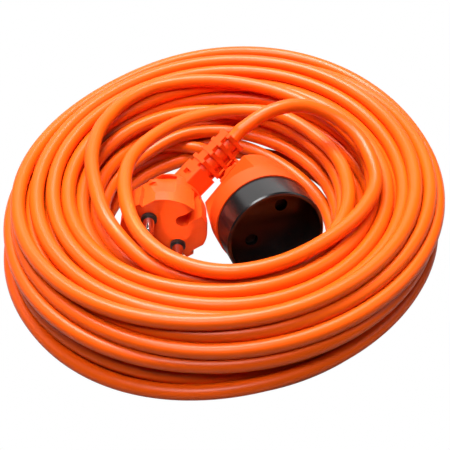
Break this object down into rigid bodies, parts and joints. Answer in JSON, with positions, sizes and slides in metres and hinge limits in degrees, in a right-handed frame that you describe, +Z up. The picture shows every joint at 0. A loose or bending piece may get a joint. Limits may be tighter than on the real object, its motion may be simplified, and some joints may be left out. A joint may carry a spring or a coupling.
{
  "type": "extension cord",
  "caption": "Coiled round-sheathed extension cord with an angled two-pole flat-faced plug and a round-cup connector socket with a child-protection shutter.",
  "frame": {"origin": "on the floor, under the middle of the plug and the socket, which lie in the hole of the coil", "axes": "-Y along the plug's pins, out of its face; +Z up from the floor"},
  "size_m": [0.187, 0.187, 0.0498],
  "materials": {
    "cable_sheath": "satin",
    "orange_moulding": "satin",
    "black_cup": "gloss",
    "black_bridge": "satin",
    "nickel_pin": "polished nickel plate",
    "brass_contact": "satin",
    "copper_strand": "bright stranded copper",
    "core_brown": "satin",
    "core_blue": "satin",
    "carrier_plastic": "satin",
    "shutter_plastic": "satin",
    "spring_steel": "bright drawn wire"
  },
  "bodies": {
    "cord_set": {"cord_coil": "cable_sheath", "plug_lead": "cable_sheath", "socket_lead": "cable_sheath", "plug_body": "orange_moulding", "plug_bridge": "black_bridge", "plug_pin_live": "nickel_pin", "plug_pin_neutral": "nickel_pin", "plug_crimps": "brass_contact", "plug_core_brown": "core_brown", "plug_core_blue": "core_blue", "plug_copper": "copper_strand", "plug_strain_relief": "orange_moulding", "socket_housing": "orange_moulding", "socket_cup": "black_cup", "socket_contact_carrier": "carrier_plastic", "socket_contact_live": "brass_contact", "socket_contact_neutral": "brass_contact", "socket_shutter_pivot": "spring_steel", "socket_shutter_spring": "spring_steel", "socket_crimps": "brass_contact", "socket_core_brown": "core_brown", "socket_core_blue": "core_blue", "socket_copper": "copper_strand", "socket_strain_relief": "orange_moulding"},
    "shutter": {"socket_shutter": "shutter_plastic"}
  },
  "joints": [
    {"name": "shutter_turn", "type": "hinge", "parent": "cord_set", "child": "shutter", "pos_m": [0.01731, -0.01157, 0.02372], "axis": [0.3011, -0.9267, 0.225], "range_deg": [0, 40], "stiffness_Nm_per_rad": 0.002, "springref_deg": -11.46}
  ]
}
